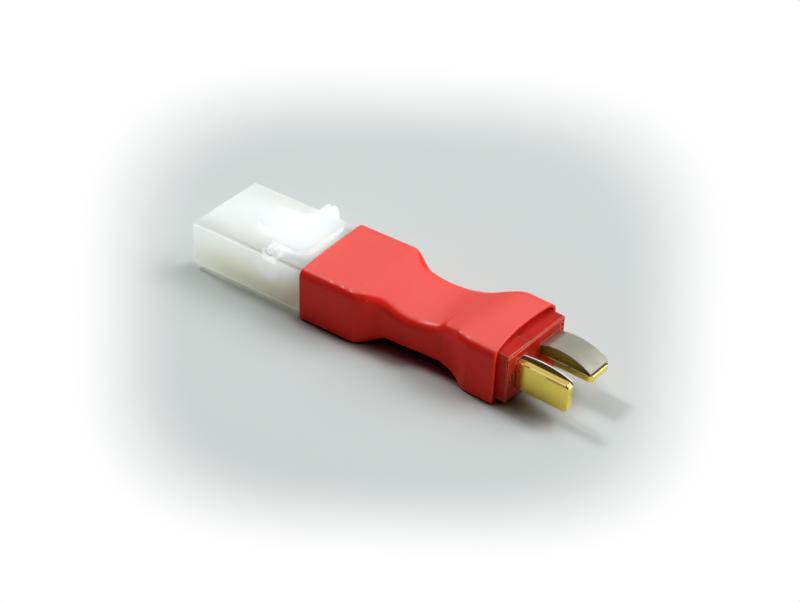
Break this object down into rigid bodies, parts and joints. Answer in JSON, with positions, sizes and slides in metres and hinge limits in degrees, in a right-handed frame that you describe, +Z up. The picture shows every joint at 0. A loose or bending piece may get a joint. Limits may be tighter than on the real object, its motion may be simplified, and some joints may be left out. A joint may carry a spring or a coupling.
{
  "type": "battery connector adapter",
  "caption": "Short battery adapter: white latched pin receptacle joined by a red shrink sleeve to a red plug with crossed gold blades.",
  "frame": {"origin": "on the ground, under the middle of the length and width", "axes": "+X along the adapter from the receptacle's open mouth to the blades, +Z up, +Y to the rounded way's side"},
  "size_m": [0.0707, 0.0175, 0.0106],
  "materials": {
    "white_nylon": "natural white nylon, satin and slightly translucent",
    "red_nylon": "deep red translucent nylon, glossy",
    "sleeve_red": "red heat shrink, soft satin gloss",
    "gold_plate": "gold plated copper alloy, lightly worn",
    "spring_steel": "plated spring strip, satin",
    "tinned_brass": "tin plated brass",
    "solder": "dull grey solder",
    "red_jacket": "soft red wire jacket",
    "black_jacket": "soft black wire jacket"
  },
  "bodies": {
    "adapter": {"receptacle_housing": "white_nylon", "pin_terminal_left": "tinned_brass", "pin_terminal_right": "tinned_brass", "lead_left": "red_jacket", "lead_right": "black_jacket", "solder_joint_left": "solder", "solder_joint_right": "solder", "plug_body": "red_nylon", "blade_upright": "gold_plate", "blade_flat": "gold_plate", "leaf_spring_upright": "spring_steel", "leaf_spring_flat": "spring_steel", "shrink_sleeve": "sleeve_red"},
    "latch": {"latch_lever": "white_nylon"}
  },
  "joints": [
    {"name": "latch_press", "type": "hinge", "parent": "adapter", "child": "latch", "pos_m": [-0.01883, 0, 0.00985], "axis": [0, 1, 0], "range_deg": [0, 5.5], "stiffness_Nm_per_rad": 0.02}
  ]
}
